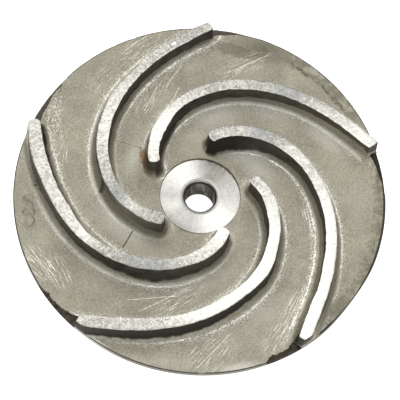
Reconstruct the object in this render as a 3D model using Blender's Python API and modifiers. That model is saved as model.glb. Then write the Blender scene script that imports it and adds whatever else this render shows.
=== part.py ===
"""Semi-open centrifugal pump impeller: one casting with five backward-swept vanes on a disc.

Metres, +Z along the shaft axis towards the inlet. The origin is the centre of the rear hub face, on which the
impeller stands. Angles are measured anticlockwise from +X, as seen from the inlet.
"""

import bmesh
import bpy
import numpy as np

COLLECTION = "Pump impeller"
HELPERS = "Impeller cutters and blanks"

# Disc and hub
DISC_RADIUS = 0.062
DISC_THICKNESS = 0.0025
RIM_CHAMFER = 0.0003
HUB_LENGTH = 0.0098
HUB_RADIUS = 0.0140
HUB_FILLET = 0.0035
HUB_CHAMFER = 0.0006

# Seat and bore
SEAT_RADIUS = 0.0134
SEAT_DEPTH = 0.0007
BORE_RADIUS = 0.00515
MOUTH_RADIUS = 0.0066
MOUTH_FLOOR_RADIUS = 0.00575
MOUTH_FLOOR_DEPTH = 0.00025
MOUTH_DEPTH = 0.0009
BORE_CHAMFER = 0.0005

# Vanes: blade angles are measured from the tangent, at the inner end, half way out and at the tip
VANE_COUNT = 5
VANE_INNER_RADIUS = 0.0176
VANE_TIP_RADIUS = 0.0600
BLADE_ANGLE_INNER = 43.5
BLADE_ANGLE_MIDDLE = 22.0
BLADE_ANGLE_TIP = 31.0
VANE_THICKNESS_INNER = 0.0036
VANE_THICKNESS_TIP = 0.0042
VANE_HEIGHT_INNER = 0.0097
VANE_HEIGHT_TIP = 0.0068
NOSE_LENGTH = 0.0011

# The first vane's tip, and how the casting lets each vane differ: how far it stands round from its even
# place and bows between its ends, in degrees, how much further out its tip runs, and how far its outer
# and its hub side stray outwards there
FIRST_TIP_ANGLE = -129.8
VANE_TURNS = (0.0, 0.5, 1.2, 0.0, 0.0)
VANE_BOWS = (0.9, 1.3, 0.5, 0.8, -1.2)
TIP_EXTENSIONS = (0.0010, 0.0008, -0.0004, 0.0, 0.0009)
OUTER_STRAYS = (-0.0001, 0.00075, 0.0003, -0.0007, -0.0001)
HUB_SIDE_STRAYS = (0.0004, 0.0010, 0.0006, 0.0003, -0.0003)
STRAY_LENGTH = 0.013
TRIM_RADIUS = 0.0618

# Cast hollows in the rim's front edge, each running back from its vane's tip. For each, from its far end
# to the tip: degrees behind the tip and reach in from the rim. Then how deep each goes at the rim
HOLLOW_REACHES = (
    ((19.0, 0.0003), (16.4, 0.0012), (13.0, 0.0013), (9.7, 0.0020), (6.5, 0.0023), (2.0, 0.0040)),
    ((12.4, 0.0004), (11.2, 0.0014), (9.8, 0.0023), (6.1, 0.0015), (1.7, 0.0033), (0.8, 0.0036)),
    ((14.0, 0.0002), (10.0, 0.0004), (5.5, 0.0010), (3.0, 0.0014), (1.2, 0.0018), (-1.2, 0.0027)),
    ((16.0, 0.0003), (12.5, 0.0006), (9.8, 0.0009), (6.9, 0.0013), (1.6, 0.0026), (0.3, 0.0027)),
    ((22.4, 0.0005), (18.5, 0.0009), (14.3, 0.0009), (12.0, 0.0016), (8.0, 0.0018), (1.8, 0.0031)),
)
HOLLOW_DEPTHS = (0.0017, 0.0017, 0.0014, 0.0006, 0.0009)
HOLLOW_STEP = 1.5

# Fineness of the mesh
DISC_STEPS = 120
FILLET_STEPS = 4
BLADE_STEPS = 22
NOSE_STEPS = 5
MERGE_DISTANCE = 0.00001
SHARP_ANGLE = 30.0

BACK_Z = HUB_LENGTH
FACE_Z = BACK_Z + DISC_THICKNESS
SEAT_Z = FACE_Z - SEAT_DEPTH
BLANK_MARGIN = 0.001
CUTTER_MARGIN = 0.004
CUTTER_CLEARANCE = 0.0006


def clear_scene():
    for obj in list(bpy.data.objects):
        bpy.data.objects.remove(obj, do_unlink=True)


def new_collection(name):
    collection = bpy.data.collections.new(name)
    bpy.context.scene.collection.children.link(collection)
    return collection


def cast_steel():
    """Grey cast stainless steel, matt from the mould."""
    material = bpy.data.materials.new("Cast stainless steel")
    material.use_nodes = True
    shader = material.node_tree.nodes["Principled BSDF"]
    shader.inputs["Base Color"].default_value = (0.36, 0.34, 0.31, 1.0)
    shader.inputs["Metallic"].default_value = 0.85
    shader.inputs["Roughness"].default_value = 0.55
    return material


def hide_helper(obj, helpers):
    helpers.objects.link(obj)
    obj.hide_render = True
    obj.display_type = "WIRE"


def turned(name, profile):
    """A closed profile of (radius, height) points, turned round the Z axis by a Screw modifier."""
    mesh = bpy.data.meshes.new(name)
    points = [(radius, 0.0, height) for radius, height in profile]
    last = len(points) - 1
    edges = [(i, i + 1) for i in range(last)] + [(last, 0)]
    mesh.from_pydata(points, edges, [])
    obj = bpy.data.objects.new(name, mesh)
    screw = obj.modifiers.new("Turn", "SCREW")
    screw.axis = "Z"
    screw.steps = DISC_STEPS
    screw.render_steps = DISC_STEPS
    screw.use_merge_vertices = True
    screw.merge_threshold = MERGE_DISTANCE
    return obj


def hub_fillet():
    """Quarter circle from the disc's back face down to the hub's side."""
    angles = np.linspace(0.0, np.pi / 2, FILLET_STEPS + 1)
    radii = HUB_RADIUS + HUB_FILLET * (1.0 - np.sin(angles))
    heights = BACK_Z - HUB_FILLET * (1.0 - np.cos(angles))
    return list(zip(radii, heights))


def disc_profile():
    """Disc, rear hub, bore and seat: down the outer side, then up through the bore."""
    rim = [
        (DISC_RADIUS - RIM_CHAMFER, FACE_Z),
        (DISC_RADIUS, FACE_Z - RIM_CHAMFER),
        (DISC_RADIUS, BACK_Z + RIM_CHAMFER),
        (DISC_RADIUS - RIM_CHAMFER, BACK_Z),
    ]
    hub = hub_fillet() + [
        (HUB_RADIUS, HUB_CHAMFER),
        (HUB_RADIUS - HUB_CHAMFER, 0.0),
    ]
    bore = [
        (BORE_RADIUS + BORE_CHAMFER, 0.0),
        (BORE_RADIUS, BORE_CHAMFER),
        (BORE_RADIUS, SEAT_Z - MOUTH_DEPTH),
        (MOUTH_FLOOR_RADIUS, SEAT_Z - MOUTH_FLOOR_DEPTH),
        (MOUTH_RADIUS, SEAT_Z),
        (SEAT_RADIUS, SEAT_Z),
        (SEAT_RADIUS, FACE_Z),
    ]
    return rim + hub + bore


def blade_angle(radius):
    """Blade angle from the tangent, in radians: a parabola through its three design values."""
    u = (radius - VANE_INNER_RADIUS) / (VANE_TIP_RADIUS - VANE_INNER_RADIUS)
    inner = BLADE_ANGLE_INNER * (1 - u) * (1 - 2 * u)
    middle = BLADE_ANGLE_MIDDLE * 4 * u * (1 - u)
    tip = BLADE_ANGLE_TIP * u * (2 * u - 1)
    return np.radians(inner + middle + tip)


def blade_centreline(number):
    """Points (x, y) from the inner end to the tip: the blade angle, integrated along the radius."""
    tip_radius = VANE_TIP_RADIUS + TIP_EXTENSIONS[number]
    radius = np.linspace(VANE_INNER_RADIUS, tip_radius, BLADE_STEPS)
    slope = 1.0 / (radius * np.tan(blade_angle(radius)))
    step = np.diff(radius) * (slope[1:] + slope[:-1]) / 2
    travel = np.append(np.cumsum(step[::-1])[::-1], 0.0)
    travel -= np.interp(VANE_TIP_RADIUS, radius, travel)
    bow = VANE_BOWS[number] * np.sin(np.linspace(0.0, np.pi, BLADE_STEPS))
    start = FIRST_TIP_ANGLE + number * 360.0 / VANE_COUNT + VANE_TURNS[number]
    angle = np.radians(start + bow) + travel
    return np.column_stack((radius * np.cos(angle), radius * np.sin(angle)))


def vane_outline(number):
    """The centreline offset to both sides, with a rounded inner end and a square-cut tip.

    Near the tip each side strays outwards by its own amount. What would stand past the rim is turned
    off with it.
    """
    centre = blade_centreline(number)
    lengths = np.linalg.norm(np.diff(centre, axis=0), axis=1)
    to_tip = np.append(np.cumsum(lengths[::-1])[::-1], 0.0)
    near_tip = np.clip(1.0 - to_tip / STRAY_LENGTH, 0.0, 1.0)[:, None] ** 1.5
    along = np.gradient(centre, axis=0)
    along /= np.linalg.norm(along, axis=1)[:, None]
    left = np.column_stack((-along[:, 1], along[:, 0]))
    thickness = np.linspace(VANE_THICKNESS_INNER, VANE_THICKNESS_TIP, BLADE_STEPS)
    half = thickness[:, None] / 2
    round_the_end = np.linspace(0.0, np.pi, NOSE_STEPS + 2)[1:-1, None]
    nose = centre[0] - along[0] * NOSE_LENGTH * np.sin(round_the_end)
    nose = nose - left[0] * half[0] * np.cos(round_the_end)
    outer_side = centre + left * (half + near_tip * OUTER_STRAYS[number])
    hub_side = centre - left * (half - near_tip * HUB_SIDE_STRAYS[number])
    outline = np.vstack((nose, outer_side, hub_side[::-1]))
    radius = np.linalg.norm(outline, axis=1)[:, None]
    return outline * np.minimum(1.0, TRIM_RADIUS / radius)


def vane_blank(number, helpers):
    """One vane's outline, extruded from inside the disc to above its ground top, as a mesh."""
    low = FACE_Z - BLANK_MARGIN
    high = FACE_Z + VANE_HEIGHT_INNER + BLANK_MARGIN
    name = f"vane_blank_{number + 1}"
    curve = bpy.data.curves.new(name, "CURVE")
    curve.dimensions = "2D"
    curve.fill_mode = "BOTH"
    curve.extrude = (high - low) / 2
    outline = vane_outline(number)
    spline = curve.splines.new("POLY")
    spline.points.add(len(outline) - 1)
    for point, (x, y) in zip(spline.points, outline):
        point.co = (x, y, 0.0, 1.0)
    spline.use_cyclic_u = True
    drawn = bpy.data.objects.new(name, curve)
    drawn.location.z = (high + low) / 2
    helpers.objects.link(drawn)
    blank = as_mesh(drawn, name)
    bpy.data.objects.remove(drawn)
    hide_helper(blank, helpers)
    return blank


def as_mesh(obj, name):
    """A new object holding this one's evaluated shape as a welded mesh, in the same place."""
    bpy.context.view_layer.update()
    graph = bpy.context.evaluated_depsgraph_get()
    mesh = bpy.data.meshes.new_from_object(obj.evaluated_get(graph))
    shape = bmesh.new()
    shape.from_mesh(mesh)
    bmesh.ops.remove_doubles(shape, verts=shape.verts, dist=MERGE_DISTANCE)
    bmesh.ops.recalc_face_normals(shape, faces=shape.faces)
    shape.to_mesh(mesh)
    shape.free()
    solid = bpy.data.objects.new(name, mesh)
    solid.matrix_world = obj.matrix_world
    return solid


def grinding_cutter(helpers):
    """Turned ring whose underside is the cone that the vane tops are ground to."""
    inner = MOUTH_RADIUS
    outer = DISC_RADIUS + CUTTER_MARGIN
    fall = (VANE_HEIGHT_TIP - VANE_HEIGHT_INNER) / (VANE_TIP_RADIUS - VANE_INNER_RADIUS)
    inner_z = FACE_Z + VANE_HEIGHT_INNER + fall * (inner - VANE_INNER_RADIUS)
    outer_z = FACE_Z + VANE_HEIGHT_INNER + fall * (outer - VANE_INNER_RADIUS)
    top = inner_z + CUTTER_MARGIN
    cutter = turned("grinding_cutter", [(outer, top), (outer, outer_z), (inner, inner_z), (inner, top)])
    hide_helper(cutter, helpers)
    return cutter


def hollow_section(angle, reach, depth):
    """Section of a hollow's cutter in the plane through the axis at this angle, in degrees.

    It runs from above the face down the hollow's inner wall, then out along its floor, past the rim.
    """
    clear = DISC_RADIUS + CUTTER_CLEARANCE
    floor = [(1.0, 0.0), (0.94, 0.45), (0.75, 0.8), (0.4, 0.95), (0.0, 1.0)]
    section = [(clear, FACE_Z + CUTTER_CLEARANCE), (DISC_RADIUS - reach, FACE_Z + CUTTER_CLEARANCE)]
    section += [(DISC_RADIUS - reach * inwards, FACE_Z - depth * down) for inwards, down in floor]
    section += [(clear, FACE_Z - depth)]
    x, y = np.cos(np.radians(angle)), np.sin(np.radians(angle))
    return [(radius * x, radius * y, height) for radius, height in section]


def hollow_cutter(number, helpers):
    """Scoop out of the rim's front edge: a section carried back along the rim from the vane's tip."""
    tip = FIRST_TIP_ANGLE + number * 360.0 / VANE_COUNT
    behind, reaches = np.array(HOLLOW_REACHES[number]).T
    steps = int(np.ceil((behind[0] - behind[-1]) / HOLLOW_STEP)) + 1
    stations = np.linspace(behind[-1], behind[0], steps)
    sections = [
        hollow_section(tip - lag, np.interp(lag, behind[::-1], reaches[::-1]), HOLLOW_DEPTHS[number])
        for lag in stations
    ]
    size = len(sections[0])
    ids = np.arange(steps * size).reshape(steps, size)
    ahead = np.roll(ids, -1, axis=1)
    sides = np.stack((ids[:-1], ahead[:-1], ahead[1:], ids[1:]), axis=-1).reshape(-1, 4)
    faces = sides.tolist() + [ids[0, ::-1].tolist(), ids[-1].tolist()]
    mesh = bpy.data.meshes.new(f"hollow_cutter_{number + 1}")
    mesh.from_pydata([point for section in sections for point in section], [], faces)
    drawn = bpy.data.objects.new(mesh.name, mesh)
    helpers.objects.link(drawn)
    cutter = as_mesh(drawn, mesh.name)
    bpy.data.objects.remove(drawn)
    hide_helper(cutter, helpers)
    return cutter


def combine(target, operation, operand):
    boolean = target.modifiers.new(f"{operation.title()} {operand.name}", "BOOLEAN")
    boolean.operation = operation
    boolean.solver = "EXACT"
    boolean.object = operand


def build_impeller(parts, helpers):
    """Disc blank, plus five vane blanks, less the grinding cone and the rim hollows."""
    blank = turned("disc_blank", disc_profile())
    hide_helper(blank, helpers)
    for number in range(VANE_COUNT):
        combine(blank, "UNION", vane_blank(number, helpers))
    combine(blank, "DIFFERENCE", grinding_cutter(helpers))
    for number in range(VANE_COUNT):
        combine(blank, "DIFFERENCE", hollow_cutter(number, helpers))
    impeller = as_mesh(blank, "impeller")
    parts.objects.link(impeller)
    impeller.data.materials.clear()
    impeller.data.materials.append(cast_steel())
    impeller.data.shade_smooth()
    impeller.data.set_sharp_from_angle(angle=np.radians(SHARP_ANGLE))
    return impeller


def main():
    clear_scene()
    parts = new_collection(COLLECTION)
    helpers = new_collection(HELPERS)
    build_impeller(parts, helpers)
    helpers.hide_render = True


main()
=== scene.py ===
"""Looks of the pump impeller: one casting with its ground vane tops, turned seat and worn skin.

Metres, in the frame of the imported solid: +Z along the shaft axis, the rear hub face on z = 0. Materials work
in millimetres, read from Object coordinates or from the piece's own attributes.
"""

import bmesh
import bpy
import numpy as np
from mathutils import Matrix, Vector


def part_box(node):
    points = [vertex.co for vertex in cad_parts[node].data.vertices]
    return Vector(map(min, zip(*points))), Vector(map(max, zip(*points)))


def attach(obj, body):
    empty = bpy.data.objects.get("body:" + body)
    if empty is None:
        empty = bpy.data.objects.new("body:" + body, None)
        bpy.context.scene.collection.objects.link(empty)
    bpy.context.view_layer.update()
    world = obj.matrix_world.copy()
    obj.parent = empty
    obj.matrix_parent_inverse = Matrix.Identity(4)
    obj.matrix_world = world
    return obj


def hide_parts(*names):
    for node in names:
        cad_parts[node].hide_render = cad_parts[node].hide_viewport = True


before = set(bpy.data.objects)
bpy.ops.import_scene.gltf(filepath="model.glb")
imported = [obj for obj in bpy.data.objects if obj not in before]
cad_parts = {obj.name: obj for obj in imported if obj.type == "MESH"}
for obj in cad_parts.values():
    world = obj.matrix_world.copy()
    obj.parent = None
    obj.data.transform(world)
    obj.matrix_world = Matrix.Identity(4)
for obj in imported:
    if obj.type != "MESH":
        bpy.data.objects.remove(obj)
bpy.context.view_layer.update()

_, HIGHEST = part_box("impeller")

# Disc, hub and bore, as in the solid
DISC_RADIUS = HIGHEST.x
BACK_Z = 0.0098
FACE_Z = 0.0123
HUB_RADIUS = 0.0140
HUB_FILLET = 0.0035
HUB_CHAMFER = 0.0006
SEAT_RADIUS = 0.0134
SEAT_Z = 0.0116
MOUTH_RADIUS = 0.0066
MOUTH_FLOOR_RADIUS = 0.00575
MOUTH_FLOOR_DEPTH = 0.00025
MOUTH_DEPTH = 0.0009
THREAD_MAJOR = 0.00556
THREAD_MINOR = 0.00490
THREAD_PITCH = 0.00127
THREAD_RUN_OUT = 0.0007
BORE_CHAMFER = 0.0005
BORE_RADIUS = (THREAD_MAJOR + THREAD_MINOR) / 2
RIM_INSET = 0.00005
RIM_ROUNDING = 0.0002
BACK_ROUNDING = 0.0003
LIP_ROUNDING = 0.0001
MOUTH_CHAMFER = 0.00012
FINE_FACE_FROM = 0.0575

# What wear and casting left uneven on it: wavelength and size, or angle in degrees, reach and depth
FACE_WAVES = ((0.014, 0.00005), (0.004, 0.00002))
FACE_WAVE_FADES = (0.003, 0.002)
WORN_LIP_ANGLE = -128.0
WORN_LIP_WIDTH = 0.0011
WORN_LIP_DEPTH = 0.00042
WORN_LIP_FROM = 0.35
FLAT_ANGLE = -37.0
FLAT_REACH = 17.0
FLAT_DEPTH = 0.0006
FLAT_FROM = 0.055
FLAT_FADE = 0.005
NICK_WAVE = 0.0026
NICK_DEPTH = 0.00035
NICK_REACH = 0.0012
NICK_LEVEL = 0.55

# Vanes, as in the solid
VANE_COUNT = 5
VANE_INNER_RADIUS = 0.0176
VANE_TIP_RADIUS = 0.0600
BLADE_ANGLES = (43.5, 22.0, 31.0)
VANE_THICKNESS_INNER = 0.0036
VANE_THICKNESS_TIP = 0.0042
VANE_HEIGHT_INNER = 0.0097
VANE_HEIGHT_TIP = 0.0068
FIRST_TIP_ANGLE = -129.8
VANE_TURNS = (0.0, 0.5, 1.2, 0.0, 0.0)
VANE_BOWS = (0.9, 1.3, 0.5, 0.8, -1.2)
TIP_EXTENSIONS = (0.0010, 0.0008, -0.0004, 0.0, 0.0009)
OUTER_STRAYS = (-0.0001, 0.00075, 0.0003, -0.0007, -0.0001)
HUB_SIDE_STRAYS = (0.0004, 0.0010, 0.0006, 0.0003, -0.0003)
STRAY_LENGTH = 0.013
LEAN_LENGTH = 0.002
NOSE_LENGTH = 0.0011
LARGEST_RADIUS = 0.06182

# How each vane's tip was left: length of its rounded end, its roundness (1 is an ellipse, 0 is square)
# and how far its outer corner runs on past the inner one, as a share of the width
TIP_LENGTHS = (0.0006, 0.0007, 0.0004, 0.0013, 0.0022)
TIP_ROUNDNESS = (0.30, 0.40, 0.22, 0.65, 0.9)
TIP_SLANTS = (0.34, 0.06, 0.19, -0.18, -0.16)

# Walls of the vanes
GROUND_EDGE = 0.00013
DRAFT = 0.045
FILLET_DIP = 0.00012
TOE_REACH = 0.0001
NOSE_BLEND = 0.06
FILLET_FALL_TIP = 0.0040
FILLET_LEAST_TIP = 0.75
WALL_ROWS = (0.3, 0.65)
FOOT_SPREAD = 0.6
SOLE_SPREAD = 0.3
FOOT_UNDER_FACE = 0.0008
FOOT_OVER_BACK = 0.0005

# Radius of each vane's fillets in mm, at four places from the nose to the tip
OUTER_FILLETS = (
    (1.7, 3.1, 2.1, 1.4),
    (1.6, 2.0, 2.4, 2.3),
    (1.8, 1.6, 1.5, 1.5),
    (2.4, 2.5, 2.2, 1.4),
    (2.7, 2.4, 2.7, 2.6),
)
HUB_SIDE_FILLETS = (
    (2.3, 2.3, 1.6, 1.2),
    (2.4, 1.8, 2.3, 3.0),
    (2.0, 1.5, 1.6, 1.8),
    (2.0, 2.3, 1.9, 1.5),
    (1.6, 2.2, 3.0, 3.0),
)
# Where a top's edge runs wide (+) or narrow (-): vane, side (1 outer, -1 hub), middle and half length in mm
# from the inner end, amount
EDGE_BULGES = (
    (0, 1, 4.0, 9.0, 0.00045),
    (0, 1, 33.0, 10.0, 0.00080),
    (0, -1, 58.0, 26.0, -0.00025),
    (0, -1, 12.0, 9.0, 0.00030),
    (0, -1, 36.0, 12.0, -0.00028),
    (1, 1, 1.0, 8.0, 0.00045),
    (1, -1, 60.0, 16.0, -0.00035),
    (1, -1, 13.0, 12.0, 0.00055),
    (1, -1, 25.0, 7.0, 0.00035),
    (1, -1, 79.0, 10.0, -0.00035),
    (2, 1, 0.0, 7.0, 0.00050),
    (2, 1, 23.0, 16.0, -0.00010),
    (2, -1, 0.0, 6.0, -0.00045),
    (2, -1, 13.0, 9.0, 0.00065),
    (3, 1, 64.0, 11.0, -0.00085),
    (3, 1, 1.0, 9.0, 0.00070),
    (4, 1, 50.0, 34.0, 0.00030),
    (4, 1, 84.0, 12.0, 0.00055),
    (4, 1, 4.0, 12.0, 0.00070),
    (4, -1, 51.0, 14.0, -0.00110),
)
EDGE_WAVES = ((0.0075, 0.00011), (0.0022, 0.00007), (0.0010, 0.00005))
WALL_WAVE = (0.0035, 0.00005)
WALL_WAVE_FADE = 0.0015
TOP_INSET = 0.00005
TOP_WAVE = (0.006, 0.00003)

# Cast hollows in the rim's front edge, near the solid's: degrees behind the vane's tip and reach in from
# the rim; then how deep each goes at the rim, how ragged its inner edge is, and how round its section is
HOLLOW_REACHES = (
    ((19.0, 0.0003), (16.6, 0.0008), (14.6, 0.0013), (12.8, 0.0012), (10.7, 0.0015), (8.1, 0.0018),
     (5.9, 0.0023), (4.5, 0.0031), (2.0, 0.0040)),
    ((12.4, 0.0004), (11.2, 0.0014), (9.8, 0.0023), (6.1, 0.0015), (1.7, 0.0033), (0.8, 0.0036)),
    ((14.0, 0.0002), (11.7, 0.0004), (9.7, 0.0009), (7.3, 0.0013), (4.3, 0.0018), (1.7, 0.0021),
     (-1.2, 0.0029)),
    ((16.0, 0.0003), (12.5, 0.0006), (9.8, 0.0009), (6.9, 0.0013), (1.6, 0.0026), (0.3, 0.0027)),
    ((22.4, 0.0005), (18.5, 0.0009), (14.3, 0.0009), (12.0, 0.0016), (8.0, 0.0018), (1.8, 0.0031)),
)
HOLLOW_DEPTHS = (0.0017, 0.0017, 0.0014, 0.0006, 0.0009)
HOLLOW_RAGGEDNESS = (0.00018, 0.00034, 0.00012, 0.00015, 0.00022)
HOLLOW_EDGE_WAVES = ((0.0030, 1.0), (0.0011, 0.8))
HOLLOW_FLOOR_WAVE = (0.0016, 0.00012)
HOLLOW_ROUNDNESS = (0.45, 0.7)
HOLLOW_LEAST_REACH = 0.00015
HOLLOW_CLEARANCE = 0.0006

# Fineness of the mesh
DISC_COLUMNS = 288
SIDE_STEPS = 150
END_STEPS = 7
TOP_CELLS = 6
FILLET_STEPS = 7
HOLLOW_STEPS = (90, 12)
MEASURING_STEPS = 120
POINTS_AT_ONCE = 20000
SHARP_ANGLE = 38.0

# The finishes, in the order of the material slots
CAST, FLANK, GROUND, SEAT, TURNED, THREAD, HOLLOW, MOUTH = range(8)

# Unevenness: the range of wavelengths in it, and the seed of its random draws on each surface
WAVE_SPREAD = (0.7, 1.6)
SEED_BLADE_EDGE = 40
SEED_WALL = 60
SEED_TOP = 70
SEED_HOLLOW = 80
SEED_FACE = 90


# --- surfaces ------------------------------------------------------------------------------------------


def roughness_of(points, wavelength, seed, waves=24):
    """Smooth unevenness of about -1 to 1: a sum of plane waves in seeded directions and phases."""
    draw = np.random.default_rng(seed)
    directions = draw.normal(size=(waves, 3))
    directions /= np.linalg.norm(directions, axis=1)[:, None]
    pitch = 2 * np.pi / (wavelength * draw.uniform(*WAVE_SPREAD, waves))
    phases = draw.uniform(0.0, 2 * np.pi, waves)
    return np.sin(points @ (directions * pitch[:, None]).T + phases).sum(axis=-1) / np.sqrt(2 * waves)


def cells(ids):
    """The quads between neighbours of a grid of point numbers."""
    corners = (ids[:-1, :-1], ids[1:, :-1], ids[1:, 1:], ids[:-1, 1:])
    return np.stack(corners, axis=-1).reshape(-1, 4)


def raised_cosine(away):
    """1 at 0, falling smoothly to 0 at 1 and beyond."""
    return 0.5 + 0.5 * np.cos(np.pi * np.clip(away, 0, 1))


def new_piece(name, points, faces, finishes):
    """A mesh object in the scene, with the number of each face's finish."""
    mesh = bpy.data.meshes.new(name)
    mesh.from_pydata(points.tolist(), [], faces)
    mesh.polygons.foreach_set("material_index", np.asarray(finishes, dtype=np.int32))
    piece = bpy.data.objects.new(name, mesh)
    bpy.context.scene.collection.objects.link(piece)
    return piece


def run(start, end, steps):
    """Evenly spaced (radius, height) points on a straight line, without its end."""
    share = np.arange(steps)[:, None] / steps
    return np.array(start) * (1 - share) + np.array(end) * share


def arc(centre, radius, start, end, steps):
    """Points (radius, height) on a circular arc, angles in degrees, without its end."""
    angle = np.radians(start + (end - start) * np.arange(steps) / steps)
    return np.array(centre) + radius * np.column_stack((np.cos(angle), np.sin(angle)))


def around(radius, angle, height):
    """Points at a radius from the axis, an angle in radians and a height."""
    return np.stack((radius * np.cos(angle), radius * np.sin(angle), height), axis=-1)


def disc_profile():
    """The turned outline, out over the face, round the rim, in under the back, and up the bore to the seat.

    Gives the (radius, height) points and the finish of the strip after each of them.
    """
    rim = DISC_RADIUS - RIM_INSET
    shoulder = rim - RIM_ROUNDING
    heel = rim - BACK_ROUNDING
    lip = SEAT_RADIUS + LIP_ROUNDING
    hub_root = HUB_RADIUS + HUB_FILLET
    hub_end = HUB_RADIUS - HUB_CHAMFER
    thread_top = SEAT_Z - MOUTH_DEPTH
    mouth_floor = SEAT_Z - MOUTH_FLOOR_DEPTH
    mouth_chamfer = mouth_floor - MOUTH_CHAMFER
    strips = [
        (run((lip, FACE_Z), (FINE_FACE_FROM, FACE_Z), 44), CAST),
        (run((FINE_FACE_FROM, FACE_Z), (shoulder, FACE_Z), 18), CAST),
        (arc((shoulder, FACE_Z - RIM_ROUNDING), RIM_ROUNDING, 90, 0, 3), CAST),
        (run((rim, FACE_Z - RIM_ROUNDING), (rim, BACK_Z + BACK_ROUNDING), 6), TURNED),
        (arc((heel, BACK_Z + BACK_ROUNDING), BACK_ROUNDING, 0, -90, 3), TURNED),
        (run((heel, BACK_Z), (hub_root, BACK_Z), 24), CAST),
        (arc((hub_root, BACK_Z - HUB_FILLET), HUB_FILLET, 90, 180, 7), TURNED),
        (run((HUB_RADIUS, BACK_Z - HUB_FILLET), (HUB_RADIUS, HUB_CHAMFER), 4), TURNED),
        (run((HUB_RADIUS, HUB_CHAMFER), (hub_end, 0.0), 1), TURNED),
        (run((hub_end, 0.0), (BORE_RADIUS + BORE_CHAMFER, 0.0), 5), TURNED),
        (run((BORE_RADIUS + BORE_CHAMFER, 0.0), (BORE_RADIUS, BORE_CHAMFER), 2), TURNED),
        (run((BORE_RADIUS, BORE_CHAMFER), (BORE_RADIUS, thread_top), 56), THREAD),
        (run((BORE_RADIUS, thread_top), (MOUTH_FLOOR_RADIUS, mouth_chamfer), 3), THREAD),
        (run((MOUTH_FLOOR_RADIUS, mouth_chamfer), (MOUTH_FLOOR_RADIUS, mouth_floor), 1), THREAD),
        (run((MOUTH_FLOOR_RADIUS, mouth_floor), (MOUTH_RADIUS, SEAT_Z), 4), MOUTH),
        (run((MOUTH_RADIUS, SEAT_Z), (SEAT_RADIUS, SEAT_Z), 9), SEAT),
        (run((SEAT_RADIUS, SEAT_Z), (SEAT_RADIUS, FACE_Z - LIP_ROUNDING), 3), CAST),
        (arc((lip, FACE_Z - LIP_ROUNDING), LIP_ROUNDING, 180, 90, 2), CAST),
    ]
    points = np.vstack([points for points, _ in strips])
    finishes = np.concatenate([np.full(len(points), finish) for points, finish in strips])
    return points, finishes


def turned_body():
    """Disc, hub and bore: the outline turned round the axis, which closes on itself both ways.

    In the bore the radius follows a triangle wave of height over pitch less a turn, which cuts the thread.
    The face is uneven as cast. Its rim is nicked and, by a raised cosine of the angle, worn a little flat at
    one place. The lip of the seat is worn down on one side, less and less outwards.
    """
    profile, finishes = disc_profile()
    angle = np.arange(DISC_COLUMNS) * 2 * np.pi / DISC_COLUMNS
    radius, angle = np.meshgrid(profile[:, 0], angle, indexing="ij")
    height = np.repeat(profile[:, 1:], DISC_COLUMNS, axis=1)

    turns = height / THREAD_PITCH - angle / (2 * np.pi)
    wave = 4 * np.abs(turns - np.floor(turns + 0.5)) - 1
    from_ends = np.minimum(height - BORE_CHAMFER, SEAT_Z - MOUTH_DEPTH - height)
    cut = np.clip(from_ends / THREAD_RUN_OUT, 0, 1) * (finishes == THREAD)[:, None]
    radius = radius + cut * wave * (THREAD_MAJOR - THREAD_MINOR) / 2

    points = around(radius, angle, height)
    on_face = (height > FACE_Z - 1e-6) & (radius > SEAT_RADIUS)
    waves = enumerate(FACE_WAVES)
    uneven = sum(size * roughness_of(points, wave, SEED_FACE + n) for n, (wave, size) in waves)
    by_seat, by_rim = FACE_WAVE_FADES
    edges = np.clip((radius - SEAT_RADIUS) / by_seat, 0, 1) * np.clip((DISC_RADIUS - radius) / by_rim, 0, 1)
    facing = np.cos(angle - np.radians(WORN_LIP_ANGLE))
    worn_side = np.clip(facing - WORN_LIP_FROM, 0, 1) / (1 - WORN_LIP_FROM)
    fading = np.exp(-((radius - SEAT_RADIUS) / WORN_LIP_WIDTH)) * (radius > SEAT_RADIUS)
    worn = WORN_LIP_DEPTH * worn_side * fading
    points[..., 2] += on_face * (uneven * edges - worn)

    from_flat = np.angle(np.exp(1j * (angle - np.radians(FLAT_ANGLE))))
    flat = FLAT_DEPTH * raised_cosine(np.abs(np.degrees(from_flat)) / FLAT_REACH)
    flat = flat * np.clip((radius - FLAT_FROM) / FLAT_FADE, 0, 1)
    points[..., :2] *= (1 - flat / radius)[..., None]

    nicks = np.clip(roughness_of(points, NICK_WAVE, SEED_FACE + 2) - NICK_LEVEL, 0, 1) * NICK_DEPTH
    nicked = (radius > DISC_RADIUS - NICK_REACH) & (height > FACE_Z - NICK_REACH)
    shrink = 1 - nicked * nicks * np.clip((height - FACE_Z + NICK_REACH) / NICK_REACH, 0, 1) / radius
    points[..., :2] *= shrink[..., None]

    ids = np.arange(radius.size).reshape(radius.shape)
    quads = cells(np.pad(ids, ((0, 1), (0, 1)), mode="wrap"))
    return new_piece("body", points.reshape(-1, 3), quads.tolist(), np.repeat(finishes, DISC_COLUMNS))


def blade_angle(radius):
    """Blade angle from the tangent, in radians: a parabola through its three design values."""
    inner, middle, tip = BLADE_ANGLES
    u = (radius - VANE_INNER_RADIUS) / (VANE_TIP_RADIUS - VANE_INNER_RADIUS)
    return np.radians(inner * (1 - u) * (1 - 2 * u) + middle * 4 * u * (1 - u) + tip * u * (2 * u - 1))


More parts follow.
